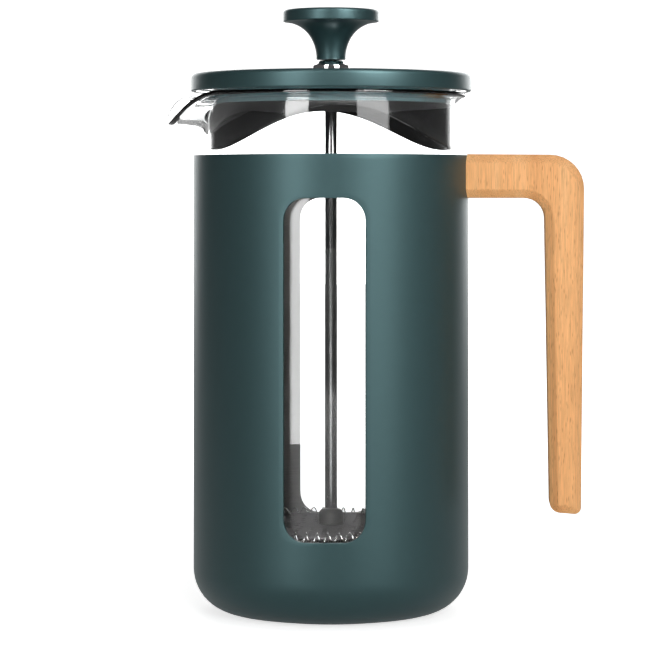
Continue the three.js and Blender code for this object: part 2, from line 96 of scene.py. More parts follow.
LID_LOW, LID_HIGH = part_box("lid_cap")
LID_R = LID_HIGH.x
PLUG_LOW, PLUG_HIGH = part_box("lid_plug")
SKIRT_TURN = 6.7  # degrees from +X to the middle of a tongue
SKIRT_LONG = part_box("lid_skirt")[0].z
SKIRT_SHORT = 187.5 * MM  # lower edge of the arches between the tongues
SKIRT_R = 44.8  # in millimetres
SKIRT_WALL = 1.6  # in millimetres
SKIRT_WAVE_POWER = 3.3

ROD_LOW, ROD_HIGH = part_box("plunger_rod")
ROD_R = ROD_HIGH.x
KNOB_LOW, KNOB_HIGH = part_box("knob")
KNOB_R = KNOB_HIGH.x
COIL_R = 43.1 * MM
COIL_Z = 32.5 * MM
COIL_TURN_R = 1.85 * MM
COIL_WIRE = 0.26 * MM
COIL_TURNS = 70
DOME_R = 4.8 * MM

CAMERA_AZIMUTH = 2.7  # degrees from the front, towards the handle
CAMERA_DISTANCE = 1.055
CAMERA_HEIGHT = 0.154


# ---- Materials ----


class Finish:
    """A node material round one Principled shader."""

    def __init__(self, name, **sockets):
        self.material = bpy.data.materials.new(name)
        self.material.use_nodes = True
        self.tree = self.material.node_tree
        self.shader = self.tree.nodes["Principled BSDF"]
        for socket, value in sockets.items():
            self.shader.inputs[socket.replace("_", " ")].default_value = value
        self.coords = self.node("ShaderNodeTexCoord").outputs["Object"]

    def node(self, kind, **settings):
        made = self.tree.nodes.new(kind)
        for key, value in settings.items():
            setattr(made, key, value)
        return made

    def link(self, output, target):
        self.tree.links.new(output, target)

    def stretched(self, x, y, z):
        """Object coordinates with each axis scaled, in repeats per metre."""
        mapping = self.node("ShaderNodeMapping")
        mapping.inputs["Scale"].default_value = (x, y, z)
        self.link(self.coords, mapping.inputs["Vector"])
        return mapping.outputs["Vector"]

    def noise(self, vector, detail=3, roughness=0.55, scale=1):
        made = self.node("ShaderNodeTexNoise")
        made.inputs["Scale"].default_value = scale
        made.inputs["Detail"].default_value = detail
        made.inputs["Roughness"].default_value = roughness
        self.link(vector, made.inputs["Vector"])
        return made.outputs["Fac"]

    def ramp(self, value, stops):
        """stops is [(place, grey or colour), ...]."""
        made = self.node("ShaderNodeValToRGB")
        elements = made.color_ramp.elements
        while len(elements) < len(stops):
            elements.new(0.5)
        for element, (place, colour) in zip(elements, stops):
            element.position = place
            element.color = (*colour, 1) if isinstance(colour, tuple) else (colour,) * 3 + (1,)
        self.link(value, made.inputs["Fac"])
        return made.outputs["Color"]

    def mix(self, factor, a, b, blend="MIX"):
        made = self.node("ShaderNodeMix", data_type="RGBA", blend_type=blend)
        for socket, value in ((made.inputs[0], factor), (made.inputs[6], a), (made.inputs[7], b)):
            if hasattr(value, "is_output"):
                self.link(value, socket)
            elif isinstance(value, tuple):
                socket.default_value = (*value, 1)
            else:
                socket.default_value = value
        return made.outputs[2]

    def range(self, value, low, high):
        made = self.node("ShaderNodeMapRange")
        made.inputs["To Min"].default_value = low
        made.inputs["To Max"].default_value = high
        self.link(value, made.inputs["Value"])
        return made.outputs["Result"]

    def colour(self, output):
        self.link(output, self.shader.inputs["Base Color"])

    def roughness(self, output):
        self.link(output, self.shader.inputs["Roughness"])

    def bump(self, height, depth, strength=1.0):
        made = self.node("ShaderNodeBump")
        made.inputs["Strength"].default_value = strength
        made.inputs["Distance"].default_value = depth
        self.link(height, made.inputs["Height"])
        self.link(made.outputs["Normal"], self.shader.inputs["Normal"])


def paint_finish(name, colour, rough):
    """Fine powder coat with a tinted gloss: a faint orange peel under a soft grain."""
    made = Finish(name, Specular_Tint=(0.6, 0.96, 1.0, 1.0))
    peel = made.noise(made.stretched(260, 260, 260), detail=2)
    grain = made.noise(made.stretched(2600, 2600, 2600), detail=2, roughness=0.6)
    dark = tuple(0.94 * c for c in colour)
    light = tuple(1.05 * c for c in colour)
    made.colour(made.ramp(made.mix(0.5, peel, grain), [(0.3, dark), (0.7, light)]))
    made.roughness(made.range(grain, rough - 0.04, rough + 0.04))
    made.bump(made.mix(0.75, peel, grain), 0.03 * MM, 0.35)
    return made.material


def plastic_finish(name, colour, rough, spread=0.04, gloss=0.5):
    made = Finish(name, Specular_IOR_Level=gloss)
    cloud = made.noise(made.stretched(90, 90, 90), detail=3)
    grain = made.noise(made.stretched(1800, 1800, 1800), detail=2)
    made.colour(made.ramp(cloud, [(0.3, tuple(0.92 * c for c in colour)), (0.7, colour)]))
    made.roughness(made.range(cloud, rough, rough + spread))
    made.bump(grain, 0.01 * MM, 0.2)
    return made.material


def metal_finish(name, colour, rough, spread, lines, depth=0.004 * MM):
    """Metal with tool marks: lines is how often the marks repeat along each axis."""
    made = Finish(name, Metallic=1.0)
    marks = made.noise(made.stretched(*lines), detail=4, roughness=0.65)
    cloud = made.noise(made.stretched(60, 60, 60), detail=2)
    dark = tuple(0.86 * c for c in colour)
    made.colour(made.mix(made.ramp(marks, [(0.35, 0.0), (0.65, 1.0)]), dark, colour))
    made.roughness(made.range(made.mix(0.5, marks, cloud), rough, rough + spread))
    made.bump(marks, depth, 0.3)
    return made.material


def weave_finish(name):
    """Woven steel wire, with each wire over and under its neighbours."""
    made = Finish(name, Metallic=1.0)
    waves = []
    for axis in ("X", "Y"):
        wave = made.node("ShaderNodeTexWave", wave_type="BANDS", bands_direction=axis)
        wave.inputs["Scale"].default_value = 360
        made.link(made.coords, wave.inputs["Vector"])
        waves.append(wave.outputs["Fac"])
    wires = made.mix(1.0, waves[0], waves[1], "MULTIPLY")
    made.colour(made.ramp(wires, [(0.1, 0.08), (0.5, 0.5)]))
    made.roughness(made.range(wires, 0.5, 0.3))
    made.bump(wires, 0.15 * MM, 0.8)
    return made.material


def glass_finish(name):
    made = Finish(name, Transmission_Weight=1.0, IOR=1.47)
    drawn = made.noise(made.stretched(25, 25, 8), detail=1)
    made.colour(made.ramp(drawn, [(0.3, (0.99, 0.998, 0.996)), (0.7, (0.995, 1.0, 0.998))]))
    made.roughness(made.range(drawn, 0.0, 0.004))
    return made.material


def beech_finish(name):
    """Beech with its grain along Z: soft bands, fine pores and short dark ray flecks."""
    made = Finish(name, Specular_IOR_Level=0.1)
    bands = made.noise(made.stretched(190, 190, 7), detail=4, roughness=0.6)
    pores = made.noise(made.stretched(2600, 2600, 90), detail=3, roughness=0.7)
    base = made.ramp(
        bands,
        [(0.3, (0.85, 0.40, 0.155)), (0.5, (0.95, 0.49, 0.205)), (0.72, (0.99, 0.57, 0.265))],
    )
    streaked = made.mix(made.ramp(pores, [(0.36, 0.55), (0.6, 0.0)]), base, (0.5, 0.25, 0.1))
    cells = made.node("ShaderNodeTexVoronoi", feature="F1")
    cells.inputs["Scale"].default_value = 1
    made.link(made.stretched(1300, 1300, 230), cells.inputs["Vector"])
    flecks = made.ramp(cells.outputs["Distance"], [(0.1, 1.0), (0.3, 0.0)])
    shade = made.mix(1.0, flecks, made.ramp(bands, [(0.3, 0.9), (0.7, 0.35)]), "MULTIPLY")
    made.colour(made.mix(shade, streaked, (0.48, 0.21, 0.075)))
    made.roughness(made.range(pores, 0.7, 0.8))
    made.bump(made.mix(0.3, pores, cells.outputs["Distance"]), 0.04 * MM, 0.4)
    return made.material


TEAL = (0.0155, 0.0335, 0.0355)
PAINT = paint_finish("teal_paint", TEAL, 0.42)
SMOOTH_PAINT = paint_finish("smooth_teal_paint", TEAL, 0.38)
TEAL_PLASTIC = plastic_finish("teal_plastic", (0.07, 0.145, 0.16), 0.03, spread=0.01, gloss=1.0)
BLACK = plastic_finish("black_plastic", (0.006, 0.006, 0.0065), 0.12, gloss=0.35)
DARK_SILICONE = plastic_finish("dark_silicone", (0.03, 0.03, 0.031), 0.7)
PALE_SILICONE = plastic_finish("pale_silicone", (0.55, 0.57, 0.56), 0.45)
NYLON = plastic_finish("nylon", (0.72, 0.7, 0.65), 0.4)
GLASS = glass_finish("glass")
BEECH = beech_finish("beech")
CHROME = metal_finish("chrome", (0.80, 0.80, 0.81), 0.04, 0.05, (300, 300, 2500))
DRAWN_STEEL = metal_finish("drawn_steel", (0.48, 0.48, 0.48), 0.12, 0.08, (40, 40, 9000), 0.03 * MM)
DARK_STEEL = metal_finish("dark_steel", (0.2, 0.195, 0.19), 0.3, 0.12, (250, 250, 5000))
# Painted shade: the spiral plate's steel gets a dark matt colour that stands in for the shadows of
# the mesh wires over it.
PLATE_PAINTED_SHADE = plastic_finish("plate_steel_painted_shade", (0.125, 0.115, 0.122), 0.75, spread=0.1, gloss=0.08)
TURNED_STEEL = metal_finish("turned_steel", (0.58, 0.57, 0.56), 0.22, 0.16, (250, 250, 5000))
SHEET_STEEL = metal_finish("sheet_steel", (0.50, 0.49, 0.48), 0.28, 0.14, (90, 90, 3200))
BRASS = metal_finish("brass", (0.72, 0.50, 0.22), 0.2, 0.12, (400, 400, 4000))
WEAVE = weave_finish("woven_steel")

# ---- Mesh helpers ----


def sharpen(mesh, angle=38):
    """Smooth shading, with the edges that turn more than angle left sharp."""
    made = bmesh.new()
    made.from_mesh(mesh)
    for face in made.faces:
        face.smooth = True
    for edge in made.edges:
        edge.smooth = not (edge.is_manifold and edge.calc_face_angle() > math.radians(angle))
    made.to_mesh(mesh)
    made.free()


def piece(name, mesh, body, materials, nodes=()):
    """Puts a finished mesh in the scene, on its body, in place of CAD nodes."""
    made = bpy.data.objects.new(name, mesh)
    bpy.context.scene.collection.objects.link(made)
    for material in materials:
        if material.name not in mesh.materials:
            mesh.materials.append(material)
    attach(made, body)
    if nodes:
        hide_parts(*nodes)
    return made


def weld(mesh, distance):
    """Joins the points that are closer than distance and turns all the faces outwards."""
    made = bmesh.new()
    made.from_mesh(mesh)
    bmesh.ops.remove_doubles(made, verts=made.verts, dist=distance)
    bmesh.ops.recalc_face_normals(made, faces=made.faces)
    made.to_mesh(mesh)
    made.free()


def mesh_of(name, points, faces):
    mesh = bpy.data.meshes.new(name)
    mesh.from_pydata([tuple(p) for p in points], [], faces)
    mesh.validate()
    weld(mesh, 1e-7)
    return mesh


def settled(made):
    """Applies an object's modifiers and returns its mesh, without the object."""
    graph = bpy.context.evaluated_depsgraph_get()
    mesh = bpy.data.meshes.new_from_object(made.evaluated_get(graph))
    bpy.data.objects.remove(made)
    return mesh


def rounded(points, closed=True, steps=5):
    """A profile of (radius, height, corner radius) points with its corners as arcs."""
    result = []
    count = len(points)
    for index, (x, y, radius) in enumerate(points):
        here = Vector((x, y))
        ends = not closed and index in (0, count - 1)
        if radius == 0 or ends:
            result.append(here)
            continue
        before = Vector(points[index - 1][:2]) - here
        after = Vector(points[(index + 1) % count][:2]) - here
        half = before.angle(after) / 2
        setback = min(radius / math.tan(half), 0.49 * before.length, 0.49 * after.length)
        radius = setback * math.tan(half)
        inward = (before.normalized() + after.normalized()).normalized()
        centre = here + inward * (radius / math.sin(half))
        start = here + before.normalized() * setback - centre
        turn = start.angle_signed(here + after.normalized() * setback - centre)
        for step in range(steps + 1):
            angle = -turn * step / steps
            spun = Vector((
                start.x * math.cos(angle) - start.y * math.sin(angle),
                start.x * math.sin(angle) + start.y * math.cos(angle),
            ))
            result.append(centre + spun)
    return result


def band(here, there, count):
    """Faces between two closed loops of count points, which start at here and there."""
    faces = []
    for i in range(count):
        j = (i + 1) % count
        faces.append((here + i, here + j, there + j, there + i))
    return faces


def spin(profile, sides, closed=True, place=None):
    """Points and faces of a turned shape. place(angle, row) can move each point."""
    rows = len(profile)
    points = []
    for side in range(sides):
        angle = TAU * side / sides
        for row, point in enumerate(profile):
            radius, height = place(angle, row) if place else point
            points.append((radius * math.cos(angle), radius * math.sin(angle), height))
    faces = []
    for side in range(sides):
        here, there = side * rows, ((side + 1) % sides) * rows
        for row in range(rows if closed else rows - 1):
            up = (row + 1) % rows
            faces.append((here + row, there + row, there + up, here + up))
    return points, faces


def turned(name, body, material, profile, closed=True, sides=SMALL, nodes=None):
    """A turned piece from a profile in millimetres of (radius, height, corner radius)."""
    outline = rounded([(r * MM, z * MM, c * MM) for r, z, c in profile], closed)
    mesh = mesh_of(name, *spin(outline, sides, closed))
    sharpen(mesh)
    return piece(name, mesh, body, [material], nodes or [name.replace("_fine", "")])


def bezier(points, t):
    a, b, c, d = (Vector(p) for p in points)
    s = 1 - t
    return a * s**3 + b * 3 * s * s * t + c * 3 * s * t * t + d * t**3


def bezier_slope(points, t):
    a, b, c, d = (Vector(p) for p in points)
    s = 1 - t
    return ((b - a) * s * s + (c - b) * 2 * s * t + (d - c) * t * t).normalized()


def flat_plate(name, loops, low, high, edge=0.12 * MM):
    """A plate between two heights, with its outline and holes as loops of 2-D points."""
    curve = bpy.data.curves.new(name, "CURVE")
    curve.dimensions = "2D"
    curve.fill_mode = "BOTH"
    curve.extrude = (high - low) / 2 - edge
    curve.bevel_depth = edge
    curve.bevel_resolution = 1
    curve.offset = -edge
    for loop in loops:
        spline = curve.splines.new("POLY")
        spline.points.add(len(loop) - 1)
        for point, (x, y) in zip(spline.points, loop):
            point.co = (x, y, 0, 1)
        spline.use_cyclic_u = True
    made = bpy.data.objects.new(name, curve)
    made.location.z = (low + high) / 2
    bpy.context.scene.collection.objects.link(made)
    bpy.context.view_layer.update()
    height = made.location.z
    mesh = settled(made)
    for vertex in mesh.vertices:
        vertex.co.z += height
    weld(mesh, 1e-6)
    sharpen(mesh, 30)
    return mesh


def circle(radius, count, x=0.0, y=0.0):
    return [
        (x + radius * math.cos(TAU * i / count), y + radius * math.sin(TAU * i / count))
        for i in range(count)
    ]


# ---- Sleeve ----

COLUMNS = 180
PATCH_COLUMNS = 30  # how many of them each window's patch takes
PATCH_ROWS = 56
PATCH_RINGS = 6
PATCH_LOW = 24 * MM
PATCH_HIGH = 162 * MM


def window_edge(across, up):
    """The point of the window's outline for a point on the edge of a unit square."""
    half_height = (WINDOW_HIGH - WINDOW_LOW) / 2
    x = across * WINDOW_HALF_WIDTH
    z = up * half_height
    centre_x = WINDOW_HALF_WIDTH - WINDOW_CORNER
    centre_z = half_height - WINDOW_CORNER
    if abs(x) > centre_x and abs(z) > centre_z:
        angle = math.atan2(abs(z) - centre_z, abs(x) - centre_x)
        x = math.copysign(centre_x + WINDOW_CORNER * math.cos(angle), x)
        z = math.copysign(centre_z + WINDOW_CORNER * math.sin(angle), z)
    return math.asin(x / SLEEVE_R), z + (WINDOW_HIGH + WINDOW_LOW) / 2


def patch_border():
    """The steps round a window's patch, as (column, row) from its lower left corner."""
    right, top = PATCH_COLUMNS, PATCH_ROWS
    steps = [(column, 0) for column in range(right)]
    steps += [(right, row) for row in range(top)]
    steps += [(column, top) for column in range(right, 0, -1)]
    steps += [(0, row) for row in range(top, 0, -1)]
    return steps


def sleeve_sheet():
    """The sleeve's outer surface, with both windows, as points and faces."""
    patch_rows = [
        PATCH_LOW + (PATCH_HIGH - PATCH_LOW) * row / PATCH_ROWS for row in range(PATCH_ROWS + 1)
    ]
    corner_z = SLEEVE_LOW.z + SLEEVE_CORNER
    foot = SLEEVE_R - SLEEVE_CORNER
    fillet = []
    for step in range(15):
        angle = -math.pi / 2 + (math.pi / 2) * step / 14
        radius = foot + SLEEVE_CORNER * math.cos(angle)
        fillet.append((radius, corner_z + SLEEVE_CORNER * math.sin(angle)))
    base = [
        (PAD_R - 8 * MM, SLEEVE_LOW.z + RECESS),
        (PAD_R + 0.2 * MM, SLEEVE_LOW.z + RECESS),
        (PAD_R + 0.5 * MM, SLEEVE_LOW.z + RECESS - 0.3 * MM),
        (PAD_R + 0.8 * MM, SLEEVE_LOW.z + 0.2 * MM),
        (PAD_R + 1.2 * MM, SLEEVE_LOW.z),
    ]
    top = SLEEVE_HIGH.z
    upper = [(SLEEVE_R, PATCH_HIGH + (top - PATCH_HIGH) * step / 3) for step in (1, 2, 3)]
    rows = base + fillet + [(SLEEVE_R, z) for z in patch_rows] + upper
    first = len(base) + len(fillet)
    points = [(0, 0, SLEEVE_LOW.z + RECESS)]
    for radius, height in rows:
        for column in range(COLUMNS):
            angle = TAU * column / COLUMNS
            points.append((radius * math.cos(angle), radius * math.sin(angle), height))

    def at(row, column):
        return 1 + row * COLUMNS + column % COLUMNS

    starts = [(COLUMNS * quarter // 4) - PATCH_COLUMNS // 2 for quarter in (1, 3)]
    faces = [(0, at(0, column + 1), at(0, column)) for column in range(COLUMNS)]
    for row in range(len(rows) - 1):
        in_patch = first <= row < first + PATCH_ROWS
        for column in range(COLUMNS):
            if in_patch and any(start <= column < start + PATCH_COLUMNS for start in starts):
                continue
            here, there = at(row, column), at(row, column + 1)
            faces.append((here, there, at(row + 1, column + 1), at(row + 1, column)))
    border = patch_border()
    for start in starts:
        middle = TAU * (start + PATCH_COLUMNS / 2) / COLUMNS
        ring = [at(first + row, start + column) for column, row in border]
        for level in range(1, PATCH_RINGS + 1):
            share = level / PATCH_RINGS
            new_ring = []
            for column, row in border:
                across = 2 * column / PATCH_COLUMNS - 1
                up = 2 * row / PATCH_ROWS - 1
                edge_turn, edge_z = window_edge(across, up)
                outer_turn = TAU * (column - PATCH_COLUMNS / 2) / COLUMNS
                angle = middle + outer_turn + (edge_turn - outer_turn) * share
                height = patch_rows[row] + (edge_z - patch_rows[row]) * share
                new_ring.append(len(points))
                points.append((SLEEVE_R * math.cos(angle), SLEEVE_R * math.sin(angle), height))
            for i in range(len(border)):
                j = (i + 1) % len(border)
                faces.append((ring[i], ring[j], new_ring[j], new_ring[i]))
            ring = new_ring
    return points, faces


def sleeve():
    points, faces = sleeve_sheet()
    mesh = bpy.data.meshes.new("sleeve_shell")
    mesh.from_pydata(points, [], faces)
    mesh.materials.append(PAINT)
    mesh.materials.append(SHEET_STEEL)
    for polygon in mesh.polygons:
        polygon.use_smooth = True
    made = bpy.data.objects.new("sleeve_work", mesh)
    bpy.context.scene.collection.objects.link(made)
    wall = made.modifiers.new("wall", "SOLIDIFY")
    wall.thickness = SLEEVE_WALL
    wall.offset = -1
    wall.use_even_offset = True
    wall.material_offset = 1
    wall.material_offset_rim = 0
    edge = made.modifiers.new("edge", "BEVEL")
    edge.width = 0.28 * MM
    edge.segments = 3
    edge.limit_method = "ANGLE"
    edge.angle_limit = math.radians(60)
    shell = settled(made)
    sharpen(shell, 60)
    return piece("sleeve_shell", shell, "pot", [PAINT, SHEET_STEEL], ["sleeve"])


# ---- Beaker ----


def glass_edge(middle, steps=18):
    """The glass's two faces round a curve through its middle, with a fire-rounded rim."""
    half = GLASS_WALL / 2
    outer, inner = [], []
    for step in range(steps + 1):
        point = bezier(middle, step / steps)
        slope = bezier_slope(middle, step / steps)
        out = Vector((slope.y, -slope.x)) * half
        outer.append(point + out)
        inner.insert(0, point - out)
    slope = bezier_slope(middle, 1)
    out = Vector((slope.y, -slope.x))
    end = bezier(middle, 1)
    cap = [
        end + (out * math.cos(angle) + slope * math.sin(angle)) * half
        for angle in (math.pi * step / 8 for step in range(1, 8))
    ]
    return outer + cap + inner


def beaker_profile(middle):
    corner_centre = Vector((GLASS_R - GLASS_CORNER, GLASS_LOW + GLASS_CORNER))
    inner_r = GLASS_R - GLASS_WALL
    inner_corner = GLASS_LOW + GLASS_CORNER - GLASS_FLOOR
    inner_centre = Vector((inner_r - inner_corner, GLASS_FLOOR + inner_corner))
    turns = [-math.pi / 2 + math.pi / 2 * step / 12 for step in range(13)]
    outside = [corner_centre + Vector((math.cos(a), math.sin(a))) * GLASS_CORNER for a in turns]
    inside = [inner_centre + Vector((math.cos(a), math.sin(a))) * inner_corner for a in turns]
    dimple = Vector((0, GLASS_LOW + 0.4 * MM))
    crown = Vector((0, GLASS_FLOOR + 0.5 * MM))
    return [dimple, *outside, *glass_edge(middle), *reversed(inside), crown]


def beaker():
    middle_r = GLASS_R - GLASS_WALL / 2
    start = (middle_r, GLASS_FLARE)
    rim = [start, (middle_r, 188.5 * MM), (middle_r, 191.4 * MM), RIM_CENTRE]
    lip = [start, (middle_r, 181 * MM), (47.2 * MM, 181.6 * MM), SPOUT_TIP]
    from_profile = beaker_profile(rim)
    to_profile = beaker_profile(lip)

    def place(angle, row):
        offset = (math.degrees(angle) - SPOUT_TURN + 180) % 360 - 180
        reach = min(1, abs(offset) / SPOUT_REACH_ANGLE) ** SPOUT_REACH_POWER
        dip = min(1, abs(offset) / SPOUT_DIP_ANGLE)
        out = math.cos(math.pi / 2 * reach) ** 2
        down = math.cos(math.pi / 2 * dip) ** SPOUT_DIP_POWER
        a, b = from_profile[row], to_profile[row]
        return a.x + (b.x - a.x) * out, a.y + (b.y - a.y) * down

    mesh = mesh_of("beaker_glass", *spin(from_profile, ROUND, False, place))
    sharpen(mesh, 80)
    return piece("beaker_glass", mesh, "pot", [GLASS], ["beaker"])


# ---- Handle ----


def corner_arc(before, corner, after, radius, inset, steps=8):
    """An outline's rounded corner, once the outline has moved inwards by inset."""
    towards = (Vector(before) - Vector(corner)).normalized()
    onward = (Vector(after) - Vector(corner)).normalized()
    half = towards.angle(onward) / 2
    bisector = (towards + onward).normalized()
    sign = 1 if towards.cross(onward) < 0 else -1  # -1 in the inside corner
    vertex = Vector(corner) + bisector * (sign * inset / math.sin(half))
    left = max(radius - sign * inset, 0.2 * MM)
    centre = vertex + bisector * (left / math.sin(half))
    start = math.atan2(*reversed(vertex + towards * (left / math.tan(half)) - centre))
    end = math.atan2(*reversed(vertex + onward * (left / math.tan(half)) - centre))
    turn = (end - start + math.pi) % TAU - math.pi
    angles = [start + turn * step / steps for step in range(steps + 1)]
    return [centre + Vector((math.cos(a), math.sin(a))) * left for a in angles]


def handle_outline(inset, depth):
    """The handle's side outline, moved inwards by inset, at depth y."""
    root = math.sqrt((SLEEVE_R + 0.06 * MM) ** 2 - depth**2)
    top, end = HANDLE_HIGH.z, HANDLE_LOW.z
    inner_top, inner_end = (79 * MM, HANDLE_ARM_LOW), (80.9 * MM, end + 0.9 * MM)
    outer_end, outer_top = (92.38 * MM, end), (93.68 * MM, top - 0.3 * MM)
    start, finish = (root, HANDLE_ARM_LOW), (root, top)
    return [
        Vector((root, HANDLE_ARM_LOW + inset)),
        *corner_arc(start, inner_top, inner_end, 7.5 * MM, inset),
        *corner_arc(inner_top, inner_end, outer_end, 4 * MM, inset),
        *corner_arc(inner_end, outer_end, outer_top, 2.4 * MM, inset),
        *corner_arc(outer_end, outer_top, finish, 12.5 * MM, inset),
        Vector((root, top - inset)),
    ]


def handle():
    """Slices through the handle from front to back, the outer ones drawn in."""
    radius = HANDLE_ROUNDING
    far = HANDLE_EDGE + radius * math.tan(math.radians(22.5))
    layers = []
    for centre, turned_from, turned_to in (((radius, far), 90, 45), ((far, radius), 45, 0)):
        for step in range(5):
            angle = math.radians(turned_from + (turned_to - turned_from) * step / 4)
            depth = HANDLE_HALF - centre[0] + radius * math.sin(angle)
            layers.append((depth, centre[1] - radius * math.cos(angle)))
    middle = layers[-1][0]
    layers += [(middle * share, 0) for share in (0.75, 0.5, 0.25, 0)]
    front = [(-depth, inset) for depth, inset in layers]
    back = [(depth, inset) for depth, inset in reversed(layers[:-1])]
    slices = [*front, *back]
    points = []
    for depth, inset in slices:
        points += [(p.x, depth, p.y) for p in handle_outline(inset, depth)]
    count = len(handle_outline(0, 0))
    faces = []
    for layer in range(len(slices) - 1):
        faces += band(layer * count, (layer + 1) * count, count)
    faces.append(tuple(range(count)))
    faces.append(tuple(reversed(range((len(slices) - 1) * count, len(slices) * count))))
    mesh = mesh_of("beech_handle", points, faces)
    sharpen(mesh, 50)
    return piece("beech_handle", mesh, "pot", [BEECH], ["handle"])


def handle_fastenings():
    middle = (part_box("handle_screw_front")[0].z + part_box("handle_screw_front")[1].z) / 2
    for place in ("front", "back"):
        low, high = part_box(f"handle_screw_{place}")
        side = (low.y + high.y) / 2
        screw = [
            (0, 47.95, 0), (1.1, 47.95, 0.1), (1.1, 48.45, 0), (1.4, 48.45, 0), (1.4, 47.93, 0.1),
            (2.9, 47.93, 0.3), (3.4, 48.5, 0.15), (3.4, 48.9, 0.1), (1.9, 48.9, 0),
            *[(1.9 - 0.25 * (i % 2), 50.2 + 0.35 * i, 0) for i in range(31)],
            (1.0, 61.5, 0.1), (0, 61.5, 0),
        ]
        insert = [
            (2.2, 52, 0.1),
            *[(3.2 - 0.3 * (i % 2), 52.3 + 0.5 * i, 0) for i in range(23)],
            (3.1, 64, 0.1), (2.2, 64, 0.1),
        ]
        for name, profile, closed, material, slot in (
            (f"handle_screw_{place}", screw, False, TURNED_STEEL, "steel"),
            (f"handle_insert_{place}", insert, True, BRASS, "brass"),
        ):
            outline = rounded([(r * MM, z * MM, c * MM) for r, z, c in profile], closed, 3)
            points, faces = spin(outline, 40, closed)
            points = [(z, y + side, middle - x) for x, y, z in points]
            mesh = mesh_of(name + "_fine", points, faces)
            sharpen(mesh)
            piece(name + "_fine", mesh, "pot", [material], [name])


# ---- Pads ----


def pads():
    pad_r = PAD_R / MM
    top = PAD_HIGH.z / MM
    grooves = []
    for radius in (26, 22, 18):
        grooves += [(radius - 0.9, 0, 0.2), (radius - 0.6, 0.5, 0.15)]
        grooves += [(radius + 0.6, 0.5, 0.15), (radius + 0.9, 0, 0.2)]
    turned("base_pad_fine", "pot", DARK_SILICONE,
           [(0, top, 0), (pad_r, top, 0.2), (pad_r, 0, 0.5),
            *sorted(grooves, reverse=True), (0, 0, 0)], closed=False, sides=128)
    low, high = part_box("beaker_cushion")
    bottom, crown, radius = low.z / MM, high.z / MM, high.x / MM
    turned("beaker_cushion_fine", "pot", PALE_SILICONE,
           [(0, bottom, 0), (radius, bottom, 0.4), (radius - 1, crown, 0.8), (24, crown, 0.4),
            (23, crown - 1, 0.4), (8, crown - 1, 0.4), (7, crown, 0.4), (0, crown, 0)],
           closed=False, sides=128)


def grip_ring():
    """An open ring with two soft ribs that face the glass."""
    low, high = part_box("beaker_grip_ring")
    bottom, top = low.z / MM, high.z / MM
    half_gap = 14
    section = rounded([
        (r * MM, z * MM, c * MM) for r, z, c in (
            (49.6, bottom, 0.3), (49.6, top, 0.3), (48.2, top, 0.3), (47.65, top - 0.9, 0.3),
            (48.2, top - 1.8, 0.2), (48.2, bottom + 1.8, 0.2), (47.65, bottom + 0.9, 0.3),
            (48.2, bottom, 0.3))
    ], True, 3)
    steps = 150
    points, faces = [], []
    for step in range(steps + 1):
        angle = math.radians(half_gap + (360 - 2 * half_gap) * step / steps)
        points += [(p.x * math.cos(angle), p.x * math.sin(angle), p.y) for p in section]
    count = len(section)
    for step in range(steps):
        here, there = step * count, (step + 1) * count
        for i in range(count):
            j = (i + 1) % count
            faces.append((here + i, there + i, there + j, here + j))
    faces.append(tuple(range(count)))
    faces.append(tuple(reversed(range(steps * count, (steps + 1) * count))))
    mesh = mesh_of("beaker_grip_ring_fine", points, faces)
    sharpen(mesh)
    piece("beaker_grip_ring_fine", mesh, "pot", [PALE_SILICONE],
          ["beaker_grip_ring"])


# ---- Lid ----


def lid():
    """The painted cap, the plug under it and the splash guard with its wavy edge."""
    outer, top, bottom = LID_R / MM, LID_HIGH.z / MM, LID_LOW.z / MM
    turned("lid_cap_shell", "lid", SMOOTH_PAINT,
           [(outer - 1.2, bottom, 0.35), (outer, bottom, 0.5), (outer, top, 1.9), (4.3, top, 0.2),
            (4.3, top - 1.2, 0.2), (outer - 1.2, top - 1.2, 1)],
           sides=ROUND, nodes=["lid_cap"])
    plug_top, plug_low = PLUG_HIGH.z / MM, PLUG_LOW.z / MM
    turned("lid_plug_body", "lid", TEAL_PLASTIC,
           [(43, plug_low, 0.3), (44.8, plug_low, 0.3), (44.8, plug_low + 1.6, 0.4),
            (44.4, plug_low + 2.1, 0.4), (44.4, bottom + 0.1, 0.8), (50.4, bottom + 0.1, 0.4),
            (50.4, plug_top, 0.6), (4.3, plug_top, 0.2), (4.3, plug_top - 2.2, 0.2),
            (43, plug_top - 2.2, 0.6)],
           sides=ROUND, nodes=["lid_plug"])

    def section(edge):
        points = [
            (SKIRT_R - SKIRT_WALL, edge, 0.35), (SKIRT_R, edge, 0.35), (SKIRT_R + 0.1, 188.6, 0.3),
            (42.7, 188.5, 0.2), (42.7, 196, 0.3), (4.3, 196, 0.2), (4.3, 194.4, 0.2),
            (41.1, 194.4, 0.8),
        ]
        return rounded([(r * MM, z * MM, c * MM) for r, z, c in points], True, 5)

    long_side, short_side = section(SKIRT_LONG / MM), section(SKIRT_SHORT / MM)

    def place(angle, row):
        rise = abs(math.sin(angle - math.radians(SKIRT_TURN))) ** SKIRT_WAVE_POWER
        a, b = long_side[row], short_side[row]
        return a.x + (b.x - a.x) * rise, a.y + (b.y - a.y) * rise

    mesh = mesh_of("lid_skirt_guard", *spin(long_side, ROUND, True, place))
    sharpen(mesh)
    piece("lid_skirt_guard", mesh, "lid", [BLACK], ["lid_skirt"])


